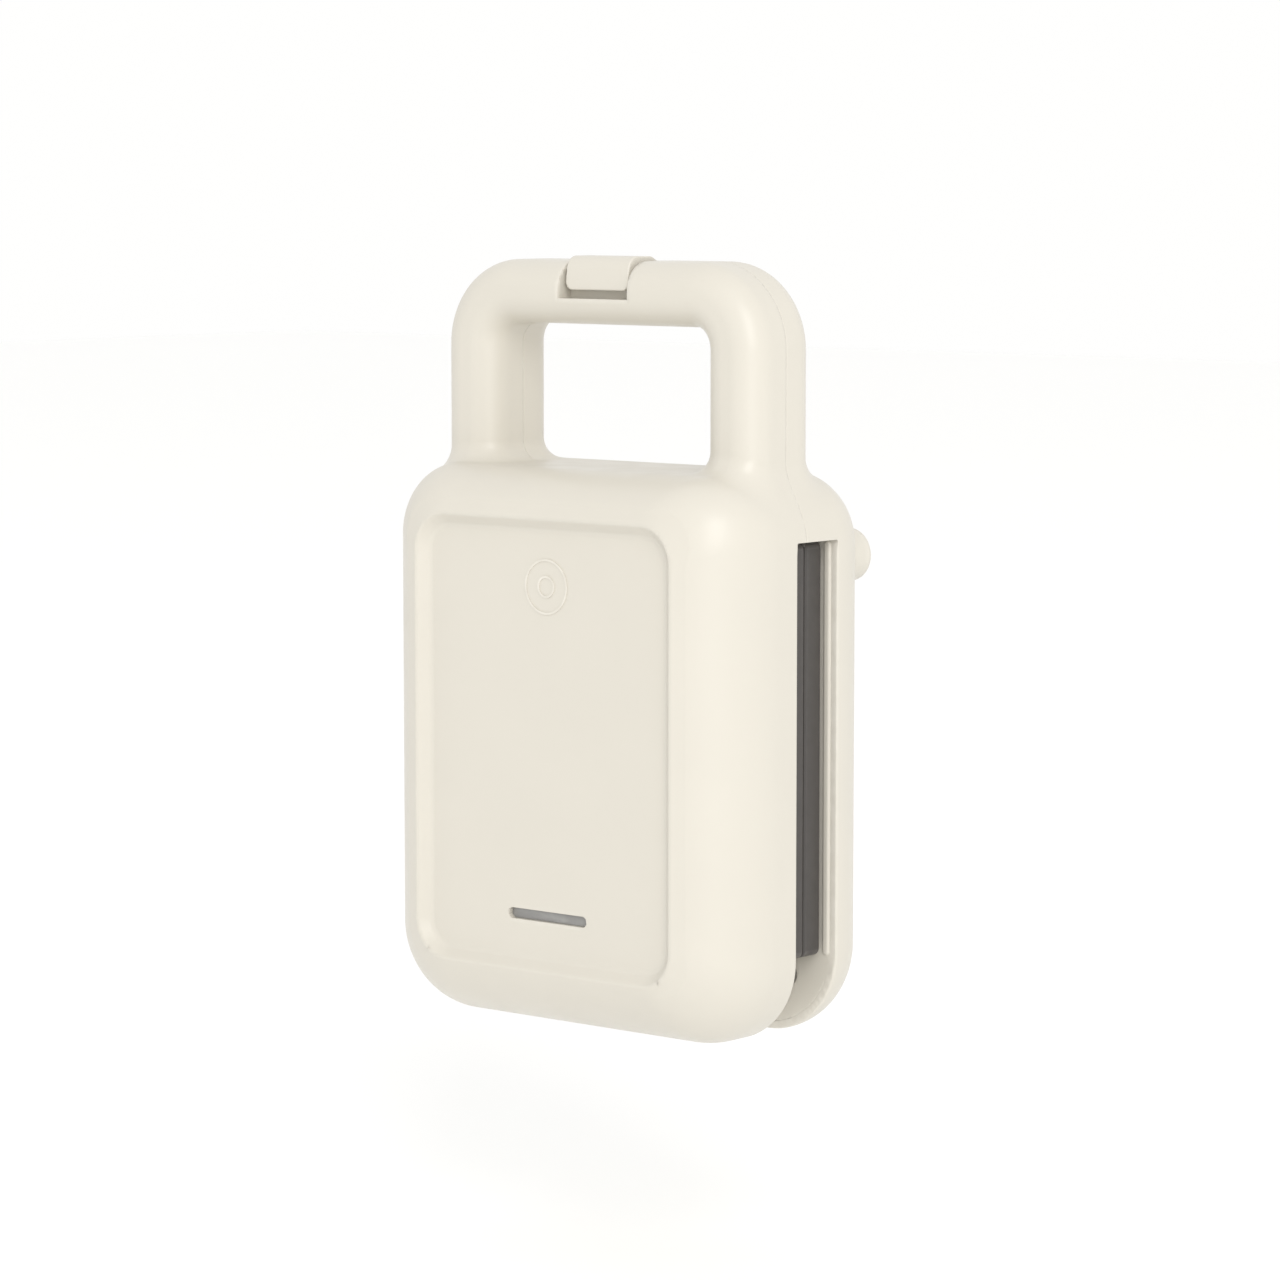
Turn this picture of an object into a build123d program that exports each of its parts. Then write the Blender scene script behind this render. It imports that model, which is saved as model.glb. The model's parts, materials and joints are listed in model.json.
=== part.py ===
"""Upright donut maker: two hinged shells with a split loop handle, two donut plates and a clip.

Millimetres. +X is the width, +Z is up, the front panel faces -Y and the feet point to +Y.
The origin is the middle of the footprint, on the surface that the hinge end stands on.
A "depth" is measured back from the front lip. An "offset" is measured from the plane where
the two donut plates meet, towards the lid (LID) or towards the base (BASE).
"""

import math
import os

from build123d import *

# Body
BODY_W = 150.8
BODY_TOP = 183.0
HANDLE_TOP = 250.0
LOW_CORNER_R = 28.0
TOP_CORNER_R = 22.0
WALL = 2.7
LID_ROUND_R = 30.7
LID_ROUND_START = -1.4
BASE_ROUND_R = 22.0
TOP_ROUND_R = 22.0
SECTIONS = 9
LOW_EASE = 0.72
TOP_EASE = 0.62
INSIDE_R = 18.0
INSIDE_EASE = 0.6
MOUTH_TOP_R = 3.0
MOUTH_LENGTH = 4.2

# Depths back from the front lip
LID_RIM = 38.1
HANDLE_SPLIT = 42.8
PLATE_SPLIT = 48.5
BASE_RIM = 58.9
BODY_BACK = 82.5
FOOT_TIP = 88.5
SPLIT_GAP = 0.3

# Handle loop
HANDLE_OUT_X = 66.9
HANDLE_LEG_W = 22.6
HANDLE_BAR_H = 20.8
HANDLE_FRONT = 26.2
HANDLE_REAR = 59.3
HANDLE_EDGE_R = 9.8
HANDLE_CORNER_R = 28.0
HANDLE_INNER_R = 7.0
HANDLE_ROOT_R = 6.0
CORE_WALL = 3.2
CORE_DEPTH = 11.0
CORE_R = 3.0
HANDLE_SUNK = 8.0

# Front panel
PANEL_W = 108.0
PANEL_LOW = 20.9
PANEL_TOP = 168.0
PANEL_CORNER_R = 12.5
PANEL_DEPTH = 3.6
PANEL_SLOPE = 3.8
LIGHT_Z = 38.6
LIGHT_W = 33.4
LIGHT_H = 3.6
LENS_RECESS = 2.1
LENS_FLANGE = 1.5
BOARD_STANDOFF = 7.0
BOARD_POST_R = 3.0
BOARD_W = 60.0
BOARD_H = 16.0
BOARD_T = 1.6
EMBLEM_Z = 146.0
EMBLEM_R = 9.0
EMBLEM_HOLE_R = 3.6
EMBLEM_LINE = 0.7
EMBLEM_H = 0.3

# Side slot and donut plates
SLOT_TOP = 161.8
PLATE_W = 140.5
PLATE_LOW = 27.0
PLATE_TOP = 161.2
PLATE_CORNER_R = 2.5
PLATE_FLANGE_END = 8.0
PLATE_BODY_INSET = 2.8
PLATE_BODY_END = 13.0
PLATE_FACE = 0.15
PLATE_EDGE_R = 0.8
DONUT_PITCH_X = 66.0
DONUT_PITCH_Z = 62.0
DONUT_R = 18.6
DONUT_TUBE_R = 9.8
BOSS_R = 4.5
BOSS_X = 60.0
BOSS_Z = 56.5

# Inner frames
FRAME_FACE = 10.7
FRAME_BACK = 13.7
FRAME_GAP = 0.2
LIP_W = 2.6
LIP_H = 1.0

# Heat trays, heaters and screws
TRAY_FLOOR = 21.5
TRAY_SHEET = 0.8
TRAY_W = 140.0
HEATER_R = 3.25
HEATER_X = 48.0
HEATER_BEND_R = 5.5
HEATER_LOW = -45.0
HEATER_HIGH = 42.0
HEATER_TAIL_X = 12.0
HEATER_TAIL = 12.0
THERMOSTAT_R = 8.5
THERMOSTAT_H = 11.0
TAB_H = 4.0
FUSE_R = 2.0
FUSE_X = 22.0
SCREW_R = 2.0
SCREW_HEAD_R = 3.6
SCREW_HEAD_H = 2.4
SCREW_FIT = 0.05

# Hinge
HINGE_Z = 8.0
KNUCKLE_R = 5.0
PIN_R = 2.0
PIN_FIT = 0.05
EAR_IN = 26.0
EAR_W = 6.0
KNUCKLE_W = 7.4
EAR_GAP = 0.3

# Latch clip
CLIP_W = 26.4
NOTCH_W = 29.6
CLIP_PIN_DEPTH = 53.0
CLIP_PIN_Z = 245.4
CLIP_PIN_R = 1.5
CLIP_KNUCKLE_R = 3.9
CLIP_TOP = 251.5
CLIP_END_Z = 240.5
NOTCH_END_Z = 237.7
NOTCH_DEPTH = 7.0
NOTCH_DROP = 3.3
NOTCH_CORNER_R = 3.4
TAB_RECESS = 2.3
TAB_LEAN = 0.7
CLIP_CREST_END = 40.0
CLIP_FLUSH_START = 44.5
CLIP_FLUSH_Z = 249.8
CLIP_FIT = 0.3
CLIP_RIDGE_R = 0.6
CLIP_RIDGE_UP = 1.2
CLIP_PIN_OUT = 4.0

# Feet and cord inlet
FOOT_R = 8.7
FOOT_PAD_H = 1.6
TOP_FOOT = (58.1, 154.3)
LOW_FOOT = (46.0, 26.0)
GLAND_FLANGE_R = 6.2
GLAND_FLANGE_H = 1.6
GLAND_SEAT_IN = 1.2
GLAND_R = 4.8
GLAND_LENGTH = 9.0
CLAMP_IN = 12.5
CORD_R = 3.2

# Small parts
FRAME_SCREW_X = 56.0
FRAME_SCREW_Z = 19.0
FRAME_SCREW_LENGTH = 12.0
PLATE_SCREW_LENGTH = 7.5
CROSS_L = 4.4
CROSS_W = 0.9
TERMINAL_X = -32.0
TERMINAL_DEPTH = 69.0
TERMINAL_Z = 14.0
TERMINAL_W = 34.0
TERMINAL_T = 10.0
TERMINAL_H = 15.0
TERMINAL_PITCH = 11.0
TERMINAL_HOLE_R = 2.2
LAMP_X = 8.0
LAMP_R = 1.5
LAMP_H = 4.2
CLAMP_W = 15.0
CLAMP_H = 8.5
CLAMP_T = 4.0
CLAMP_HOLE_X = 5.4
CLAMP_HOLE_R = 1.2

LID = -1
BASE = 1


def at_depth(depth):
    """The XZ plane at a depth, facing forward (-Y)."""
    return Plane.XZ.offset(FOOT_TIP / 2 - depth)


def at_offset(side, offset):
    """The XZ plane at an offset on one side of the plates' meeting plane."""
    return at_depth(PLATE_SPLIT + side * offset)


def y_of(depth):
    return depth - FOOT_TIP / 2


def inset_of(radius, run):
    """How far a quarter round has come in from its flank at a distance from its face."""
    return radius - math.sqrt(radius**2 - max(radius - run, 0.0) ** 2)


def pillow_sections(face_depth, run_sign, round_r, shrink):
    """Sketches of a pillow's outlines from its face to where its flanks run straight."""
    faces = []
    for step in range(SECTIONS + 1):
        run = round_r * (1 - math.cos(math.pi / 2 * step / SECTIONS))
        side = inset_of(round_r, run)
        top = inset_of(min(TOP_ROUND_R, round_r), run)
        low_r = max(LOW_CORNER_R - shrink - LOW_EASE * side, 3.0)
        top_r = max(TOP_CORNER_R - shrink - TOP_EASE * top, 3.0)
        with BuildSketch(at_depth(face_depth + run_sign * run)) as outline:
            with Locations((0, BODY_TOP / 2 + (side - top) / 2)):
                Rectangle(
                    BODY_W - 2 * (shrink + side),
                    BODY_TOP - 2 * shrink - side - top,
                )
            fillet(outline.vertices().group_by(Axis.Y)[-1], top_r)
            fillet(outline.vertices().sort_by(Axis.Y)[:2], low_r)
        faces.append(outline.sketch)
    return faces


def straight_outline(plane, shrink=0.0):
    """The body's full outline, where its flanks run straight."""
    with BuildSketch(plane) as outline:
        with Locations((0, BODY_TOP / 2)):
            Rectangle(BODY_W - 2 * shrink, BODY_TOP - 2 * shrink)
        fillet(outline.vertices().group_by(Axis.Y)[-1], TOP_CORNER_R - shrink)
        fillet(outline.vertices().sort_by(Axis.Y)[:2], LOW_CORNER_R - shrink)
    return outline.sketch


def handle_outline(plane, shrink=0.0):
    """The loop handle seen from the front, running down into the body's top."""
    inner_x = HANDLE_OUT_X - HANDLE_LEG_W
    bar_low = HANDLE_TOP - HANDLE_BAR_H
    root = BODY_TOP - HANDLE_SUNK
    with BuildSketch(plane) as loop:
        with Locations((0, (HANDLE_TOP + root) / 2)):
            Rectangle(2 * (HANDLE_OUT_X - shrink), HANDLE_TOP - root - 2 * shrink)
        fillet(loop.vertices().group_by(Axis.Y)[-1], HANDLE_CORNER_R - shrink)
        with BuildSketch(mode=Mode.PRIVATE) as gap:
            with Locations((0, (bar_low + root) / 2 - 2)):
                Rectangle(2 * (inner_x + shrink), bar_low - root + 4 - 2 * shrink)
            fillet(gap.vertices().group_by(Axis.Y)[-1], HANDLE_INNER_R + shrink)
        add(gap.sketch, mode=Mode.SUBTRACT)
    return loop.sketch


def export(builder, label):
    builder.part.label = label
    export_step(builder.part, f"parts/{label}.step")


def make_handle_half(front, rear, rounded_depth):
    """One half of the handle: the loop with round edges on its outer face."""
    with BuildPart() as half:
        extrude(handle_outline(at_depth(rear)), amount=rear - front)
        face_y = y_of(rounded_depth)
        rims = [e for e in half.edges() if abs(e.bounding_box().min.Y - face_y) < 0.01]
        rims = [e for e in rims if abs(e.bounding_box().max.Y - face_y) < 0.01]
        rims = [e for e in rims if e.bounding_box().max.Z > BODY_TOP - HANDLE_SUNK + 0.1]
        fillet(rims, HANDLE_EDGE_R)
    return half.part


def root_edges(shell):
    """The edges where the front handle half's legs meet the body's top."""
    inner_x = HANDLE_OUT_X - HANDLE_LEG_W
    found = []
    for edge in shell.edges():
        box = edge.bounding_box()
        on_top = BODY_TOP - HANDLE_SUNK < box.min.Z and box.max.Z < BODY_TOP + 0.01
        in_leg = inner_x - 0.1 < min(abs(box.min.X), abs(box.max.X))
        in_leg = in_leg and max(abs(box.min.X), abs(box.max.X)) < HANDLE_OUT_X + 0.1
        in_front_half = box.min.Y > y_of(HANDLE_FRONT) - 0.1 and box.max.Y < y_of(HANDLE_SPLIT)
        if on_top and in_leg and in_front_half:
            found.append(edge)
    return found


def latch_notch():
    """The clip's notch as a solid: a pocket in the front of the bar, and open above."""
    front = y_of(HANDLE_FRONT) - 5
    rear = y_of(HANDLE_REAR) + 5
    back = y_of(HANDLE_FRONT + NOTCH_DEPTH)
    floor = HANDLE_TOP - NOTCH_DROP
    with BuildPart() as notch:
        with BuildSketch(Plane.YZ):
            with BuildLine():
                Polyline(
                    (back, floor - NOTCH_CORNER_R),
                    (back, NOTCH_END_Z),
                    (front, NOTCH_END_Z),
                    (front, HANDLE_TOP + 5),
                    (rear, HANDLE_TOP + 5),
                    (rear, floor),
                    (back + NOTCH_CORNER_R, floor),
                )
                RadiusArc(
                    (back + NOTCH_CORNER_R, floor),
                    (back, floor - NOTCH_CORNER_R),
                    -NOTCH_CORNER_R,
                )
            make_face()
        extrude(amount=NOTCH_W / 2, both=True)
    return notch.part


def knuckle_pocket():
    """Room for the clip's knuckle in the rear half of the handle."""
    low = CLIP_PIN_Z - CLIP_KNUCKLE_R - 1.0
    with BuildPart() as pocket:
        with BuildSketch(Plane.YZ):
            with Locations((y_of(CLIP_PIN_DEPTH), (low + HANDLE_TOP) / 2)):
                Rectangle(2 * (HANDLE_REAR - CLIP_PIN_DEPTH + 5), HANDLE_TOP - low)
        extrude(amount=NOTCH_W / 2, both=True)
    return pocket.part


def ridge_groove():
    """The groove that holds the clip's ridge."""
    with BuildPart() as groove:
        with BuildSketch(Plane.YZ):
            with Locations((y_of(HANDLE_FRONT + NOTCH_DEPTH), ridge_z())):
                Circle(CLIP_RIDGE_R + 0.15)
        extrude(amount=CLIP_W / 2, both=True)
    return groove.part


def split_step(side):
    """What is cut away below the slot's top, so that a rim stands back from the split."""
    rim = LID_RIM if side == LID else BASE_RIM
    with BuildPart() as step:
        with BuildSketch(at_depth(rim)):
            with Locations((0, SLOT_TOP / 2 - 1)):
                Rectangle(BODY_W + 4, SLOT_TOP + 2)
        extrude(amount=side * 30)
    return step.part


def mouth_pocket(side, length):
    """The pocket behind a rim that an inner frame fills."""
    rim = LID_RIM if side == LID else BASE_RIM
    with BuildPart() as pocket:
        with BuildSketch(at_depth(rim + side * length)):
            add(mouth_outline(Plane.XY, 0.0))
        extrude(amount=side * (length + 20))
    return pocket.part


def make_lid_shell():
    parting = HANDLE_SPLIT - SPLIT_GAP / 2
    flank = LID_ROUND_START + LID_ROUND_R
    inner_face = PANEL_DEPTH + WALL
    boss_length = PLATE_SPLIT - FRAME_BACK - inner_face + 0.5
    outside = pillow_sections(LID_ROUND_START, 1, LID_ROUND_R, 0.0)
    inside = inner_pillow(inner_face, 1, LID_RIM - 4.0)
    handle = make_handle_half(HANDLE_FRONT, parting, HANDLE_FRONT)
    bosses = frame_bosses(LID, boss_length, drilled=False)
    with BuildPart() as lid_shell:
        loft(outside)
        extrude(straight_outline(at_depth(parting)), amount=parting - flank)
        split(bisect_by=at_depth(0), keep=Keep.BOTTOM)
        add(handle)
        fillet(root_edges(lid_shell), HANDLE_ROOT_R)
        add(split_step(LID), mode=Mode.SUBTRACT)
        loft(inside, mode=Mode.SUBTRACT)
        add(mouth_pocket(LID, MOUTH_LENGTH), mode=Mode.SUBTRACT)
        add(panel_recess(), mode=Mode.SUBTRACT)
        add(core_pockets(LID), mode=Mode.SUBTRACT)
        add(latch_notch(), mode=Mode.SUBTRACT)
        add(ridge_groove(), mode=Mode.SUBTRACT)
        add(bosses)
        add(frame_bosses(LID, FRAME_SCREW_LENGTH, drilled=True), mode=Mode.SUBTRACT)
        # Opening of the indicator light.
        with BuildSketch(at_depth(PANEL_DEPTH - 1)):
            with Locations((0, LIGHT_Z)):
                SlotOverall(LIGHT_W, LIGHT_H)
        extrude(amount=-WALL - 2, mode=Mode.SUBTRACT)
        # Posts that carry the indicator's board.
        with BuildSketch(at_depth(inner_face + BOARD_STANDOFF)):
            with Locations(*board_posts()):
                Circle(BOARD_POST_R)
        extrude(amount=BOARD_STANDOFF + 0.5)
    export(lid_shell, "lid_shell")


def board_posts():
    return [(-BOARD_W / 2 + 5, LIGHT_Z), (BOARD_W / 2 - 5, LIGHT_Z)]


def ridge_z():
    """The height of the clip's ridge, just above the clip's lower end."""
    return CLIP_END_Z + CLIP_RIDGE_UP


def inner_pillow(face_depth, run_sign, mouth_depth):
    """Outlines of a shell's inside, from its face to its mouth."""
    faces = []
    length = abs(mouth_depth - face_depth)
    round_r = min(length - 0.9, INSIDE_R)
    for step in range(SECTIONS + 1):
        run = round_r * (1 - math.cos(math.pi / 2 * step / SECTIONS))
        side = inset_of(round_r, run)
        with BuildSketch(at_depth(face_depth + run_sign * run)) as outline:
            with Locations((0, BODY_TOP / 2)):
                Rectangle(BODY_W - 2 * (WALL + side), BODY_TOP - 2 * (WALL + side))
            fillet(outline.vertices().group_by(Axis.Y)[-1], TOP_CORNER_R - WALL - INSIDE_EASE * side)
            fillet(outline.vertices().sort_by(Axis.Y)[:2], LOW_CORNER_R - WALL - INSIDE_EASE * side)
        faces.append(outline.sketch)
    if length > round_r:
        faces.append(straight_outline(at_depth(mouth_depth), WALL))
    return faces


def mouth_outline(plane, gap):
    """The opening that an inner frame fills."""
    with BuildSketch(plane) as mouth:
        with Locations((0, (WALL + SLOT_TOP) / 2)):
            Rectangle(BODY_W - 2 * (WALL + gap), SLOT_TOP - WALL - 2 * gap)
        fillet(mouth.vertices().group_by(Axis.Y)[-1], MOUTH_TOP_R)
        fillet(mouth.vertices().sort_by(Axis.Y)[:2], LOW_CORNER_R - WALL - gap)
    return mouth.sketch


def panel_recess():
    """The recessed front panel: a pocket whose walls slope in to its floor."""
    middle = (PANEL_LOW + PANEL_TOP) / 2
    height = PANEL_TOP - PANEL_LOW
    with BuildPart() as recess:
        with BuildSketch(at_depth(0)):
            with Locations((0, middle)):
                RectangleRounded(PANEL_W, height, PANEL_CORNER_R)
        with BuildSketch(at_depth(PANEL_DEPTH)):
            with Locations((0, middle)):
                RectangleRounded(
                    PANEL_W - 2 * PANEL_SLOPE,
                    height - 2 * PANEL_SLOPE,
                    PANEL_CORNER_R - PANEL_SLOPE / 2,
                )
        loft(ruled=True)
        with BuildSketch(at_depth(0)):
            with Locations((0, middle)):
                RectangleRounded(PANEL_W, height, PANEL_CORNER_R)
        extrude(amount=4)
    return recess.part


def core_pockets(side):
    """Pockets in the parting face of a handle half, which leave its walls and the clip's seat."""
    inner_x = HANDLE_OUT_X - HANDLE_LEG_W
    leg_x = (HANDLE_OUT_X + inner_x) / 2
    leg_low = SLOT_TOP + CORE_WALL
    leg_top = HANDLE_TOP - HANDLE_CORNER_R
    leg_z = (leg_low + leg_top) / 2
    bar_w = inner_x - NOTCH_W / 2 - 2 * CORE_WALL
    bar_x = (NOTCH_W + bar_w) / 2 + CORE_WALL
    bar_z = HANDLE_TOP - HANDLE_BAR_H / 2
    with BuildPart() as pockets:
        with BuildSketch(at_depth(HANDLE_SPLIT)):
            with Locations((-leg_x, leg_z), (leg_x, leg_z)):
                RectangleRounded(HANDLE_LEG_W - 2 * CORE_WALL, leg_top - leg_low, CORE_R)
            with Locations((-bar_x, bar_z), (bar_x, bar_z)):
                RectangleRounded(bar_w, HANDLE_BAR_H - 2 * CORE_WALL, CORE_R)
            with Locations((0, (leg_low + BODY_TOP - CORE_WALL) / 2)):
                RectangleRounded(2 * (inner_x - CORE_WALL), BODY_TOP - leg_low - CORE_WALL, CORE_R)
        extrude(amount=-side * CORE_DEPTH)
    return pockets.part


def frame_bosses(side, length, drilled):
    """Bosses behind an inner frame's lower corners, or the holes drilled in them."""
    with BuildPart() as bosses:
        with BuildSketch(at_offset(side, FRAME_BACK)):
            with Locations(*frame_screw_places()):
                Circle(SCREW_R + SCREW_FIT if drilled else BOSS_R)
        extrude(amount=-side * length)
    return bosses.part


def frame_screw_places():
    return [(-FRAME_SCREW_X, FRAME_SCREW_Z), (FRAME_SCREW_X, FRAME_SCREW_Z)]


def inlet_plane(inwards):
    """A plane across the cord inlet's axis, which leaves the rear round of the hinge end at 45 degrees."""
    reach = (BASE_ROUND_R - inwards) * math.sqrt(0.5)
    origin = (0, y_of(BODY_BACK - BASE_ROUND_R + reach), BASE_ROUND_R - reach)
    return Plane(origin, x_dir=(1, 0, 0), z_dir=(0, 1, -1))


def inlet_disc(inwards, length, radius):
    """A disc on the cord inlet's axis, which starts some way in and runs outwards."""
    with BuildPart() as disc:
        with BuildSketch(inlet_plane(inwards)):
            Circle(radius)
        extrude(amount=length)
    return disc.part


def make_base_shell():
    parting = HANDLE_SPLIT + SPLIT_GAP / 2
    flank = BODY_BACK - BASE_ROUND_R
    inner_face = BODY_BACK - WALL
    boss_length = inner_face - PLATE_SPLIT - FRAME_BACK + 0.5
    outside = pillow_sections(BODY_BACK, -1, BASE_ROUND_R, 0.0)
    inside = inner_pillow(inner_face, -1, BASE_RIM + 4.0)
    handle = make_handle_half(parting, HANDLE_REAR, HANDLE_REAR)
    with BuildPart() as base_shell:
        loft(outside)
        extrude(straight_outline(at_depth(flank)), amount=flank - parting)
        add(handle)
        # Four foot posts.
        with BuildSketch(at_depth(FOOT_TIP - FOOT_PAD_H)):
            with Locations(*foot_places()):
                Circle(FOOT_R)
        extrude(amount=FOOT_TIP - FOOT_PAD_H - BODY_BACK + 8)
        add(split_step(BASE), mode=Mode.SUBTRACT)
        loft(inside, mode=Mode.SUBTRACT)
        add(mouth_pocket(BASE, MOUTH_LENGTH), mode=Mode.SUBTRACT)
        add(core_pockets(BASE), mode=Mode.SUBTRACT)
        add(latch_notch(), mode=Mode.SUBTRACT)
        add(knuckle_pocket(), mode=Mode.SUBTRACT)
        # Bore of the clip's pin.
        with BuildSketch(Plane.YZ.offset(-CLIP_W / 2 - CLIP_PIN_OUT)):
            with Locations((y_of(CLIP_PIN_DEPTH), CLIP_PIN_Z)):
                Circle(CLIP_PIN_R)
        extrude(amount=CLIP_W + 2 * CLIP_PIN_OUT, mode=Mode.SUBTRACT)
        add(frame_bosses(BASE, boss_length, drilled=False))
        add(frame_bosses(BASE, FRAME_SCREW_LENGTH, drilled=True), mode=Mode.SUBTRACT)
        # Seat and hole of the cord gland.
        add(inlet_disc(GLAND_SEAT_IN, 8, GLAND_FLANGE_R + 0.3), mode=Mode.SUBTRACT)
        add(inlet_disc(6, 6, GLAND_R), mode=Mode.SUBTRACT)
    export(base_shell, "base_shell")


def foot_places():
    return [(s * x, z) for x, z in (TOP_FOOT, LOW_FOOT) for s in (-1, 1)]


def make_foot_pads():
    with BuildPart() as foot_pads:
        with BuildSketch(at_depth(FOOT_TIP)):
            with Locations(*foot_places()):
                Circle(FOOT_R)
        extrude(amount=FOOT_PAD_H)
        fillet(foot_pads.edges().group_by(Axis.Y)[-1], 1.0)
    export(foot_pads, "foot_pads")


def plate_outline(plane, shrink, corner):
    with BuildSketch(plane) as outline:
        with Locations((0, (PLATE_LOW + PLATE_TOP) / 2)):
            RectangleRounded(PLATE_W - 2 * shrink, PLATE_TOP - PLATE_LOW - 2 * shrink, corner)
    return outline.sketch


def donut_places():
    middle = (PLATE_LOW + PLATE_TOP) / 2
    return [
        (sx * DONUT_PITCH_X / 2, middle + sz * DONUT_PITCH_Z / 2) for sx in (-1, 1) for sz in (-1, 1)
    ]


def boss_places():
    middle = (PLATE_LOW + PLATE_TOP) / 2
    return [(sx * BOSS_X, middle + sz * BOSS_Z) for sx in (-1, 1) for sz in (-1, 1)]


def make_plate(side, name):
    """A cast plate: a flange that shows in the slot, a body, four half-round moulds."""
    with BuildPart() as plate:
        extrude(plate_outline(at_offset(side, PLATE_FLANGE_END), 0.0, PLATE_CORNER_R),
                amount=side * (PLATE_FLANGE_END - PLATE_FACE))
        fillet(plate.edges().group_by(Axis.Y)[0 if side == BASE else -1], PLATE_EDGE_R)
        extrude(plate_outline(at_offset(side, PLATE_BODY_END), PLATE_BODY_INSET, PLATE_CORNER_R),
                amount=side * (PLATE_BODY_END - PLATE_FLANGE_END))
        # Bosses for the tray's screws.
        with BuildSketch(at_offset(side, TRAY_FLOOR)):
            with Locations(*boss_places()):
                Circle(BOSS_R)
        extrude(amount=side * (TRAY_FLOOR - PLATE_BODY_END))
        with BuildSketch(at_offset(side, TRAY_FLOOR)):
            with Locations(*boss_places()):
                Circle(SCREW_R + SCREW_FIT)
        extrude(amount=side * 8, mode=Mode.SUBTRACT)
        for x, z in donut_places():
            with Locations(Plane((x, y_of(PLATE_SPLIT), z), z_dir=(0, 1, 0))):
                Torus(DONUT_R, DONUT_TUBE_R, mode=Mode.SUBTRACT)
        # Meeting faces inside the donut holes stand a little back.
        with BuildSketch(at_offset(side, PLATE_FACE)):
            with Locations(*donut_places()):
                Circle(DONUT_R - DONUT_TUBE_R + 0.5)
        extrude(amount=-side * 1.0, mode=Mode.SUBTRACT)
    export(plate, name)


def make_frame(side, name):
    """The inner frame: closes a shell around its plate and carries the hinge's ears."""
    with BuildPart() as frame:
        extrude(mouth_outline(at_offset(side, FRAME_BACK), FRAME_GAP),
                amount=side * (FRAME_BACK - FRAME_FACE))
        extrude(plate_outline(at_offset(side, FRAME_BACK), PLATE_BODY_INSET - 0.4, PLATE_CORNER_R),
                amount=side * (FRAME_BACK - FRAME_FACE), mode=Mode.SUBTRACT)
        # A raised lip beside each flank of the plate.
        lip_x = BODY_W / 2 - WALL - FRAME_GAP - LIP_W / 2
        with BuildSketch(at_offset(side, FRAME_FACE)):
            with Locations((-lip_x, (PLATE_LOW + PLATE_TOP) / 2), (lip_x, (PLATE_LOW + PLATE_TOP) / 2)):
                RectangleRounded(LIP_W, PLATE_TOP - PLATE_LOW, 1.2)
        extrude(amount=side * (LIP_H + 0.3))
        # Hinge ears (base) or knuckles (lid).
        for start, width in ear_spans(side):
            for mirror_x in (-1, 1):
                x0 = start if mirror_x > 0 else -start - width
                add(make_ear(x0, width, side))
        with Locations(*[Plane((x, y_of(PLATE_SPLIT + side * FRAME_FACE), z), z_dir=(0, -side, 0))
                         for x, z in frame_screw_places()]):
            CounterSinkHole(SCREW_R + 0.2, SCREW_HEAD_R, depth=FRAME_BACK - FRAME_FACE + 1)
    export(frame, name)


def ear_spans(side):
    """Where the hinge's ears start and how wide they are, out from the middle."""
    if side == BASE:
        return [(EAR_IN, EAR_W), (EAR_IN + EAR_W + 2 * EAR_GAP + KNUCKLE_W, EAR_W)]
    return [(EAR_IN + EAR_W + EAR_GAP, KNUCKLE_W)]


def make_ear(x0, width, side):
    """One ear: a round eye on the hinge axis with a web back to the frame."""
    axis_y = y_of(PLATE_SPLIT)
    bore = PIN_R if side == BASE else PIN_R + PIN_FIT
    with BuildPart() as ear:
        with BuildSketch(Plane.YZ.offset(x0)):
            with Locations((axis_y, HINGE_Z)):
                Circle(KNUCKLE_R)
            with Locations((axis_y + side * FRAME_FACE / 2, HINGE_Z)):
                Rectangle(FRAME_FACE, 2 * KNUCKLE_R)
            with Locations((axis_y, HINGE_Z)):
                Circle(bore, mode=Mode.SUBTRACT)
        extrude(amount=width)
    return ear.part


def make_hinge_pins():
    length = 2 * EAR_W + 2 * EAR_GAP + KNUCKLE_W
    with BuildPart() as hinge_pins:
        for x0 in (EAR_IN, -EAR_IN - length):
            with BuildSketch(Plane.YZ.offset(x0)):
                with Locations((y_of(PLATE_SPLIT), HINGE_Z)):
                    Circle(PIN_R - 0.01)
            extrude(amount=length)
        chamfer(hinge_pins.edges().filter_by(GeomType.CIRCLE), 0.3)
    export(hinge_pins, "hinge_pins")


def make_tray(side, name):
    """A pressed heat tray behind a plate, its rim against the inner frame."""
    middle = (PLATE_LOW + PLATE_TOP) / 2
    height = PLATE_TOP - PLATE_LOW - 1.0
    with BuildPart() as tray:
        with BuildSketch(at_offset(side, TRAY_FLOOR + TRAY_SHEET)):
            with Locations((0, middle)):
                RectangleRounded(TRAY_W - 6, height - 2, 7)
        extrude(amount=side * (TRAY_FLOOR + TRAY_SHEET - FRAME_BACK))
        with BuildSketch(at_offset(side, FRAME_BACK + TRAY_SHEET)):
            with Locations((0, middle)):
                RectangleRounded(TRAY_W, height + 2, 6)
        extrude(amount=side * TRAY_SHEET)
        with BuildSketch(at_offset(side, TRAY_FLOOR)):
            with Locations((0, middle)):
                RectangleRounded(TRAY_W - 6 - 2 * TRAY_SHEET, height - 2 - 2 * TRAY_SHEET, 6)
        extrude(amount=side * (TRAY_FLOOR - FRAME_BACK + 1), mode=Mode.SUBTRACT)
        with BuildSketch(at_offset(side, TRAY_FLOOR + TRAY_SHEET)):
            with Locations(*boss_places()):
                Circle(SCREW_R + 0.3)
            with Locations((0, middle)):
                Circle(THERMOSTAT_R + 1.0)
            for x in (-HEATER_TAIL_X, HEATER_TAIL_X):
                with Locations((x, middle + HEATER_LOW)):
                    Circle(HEATER_R + 1.5)
        extrude(amount=side * (TRAY_SHEET + 0.1), mode=Mode.SUBTRACT)
    export(tray, name)


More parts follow.
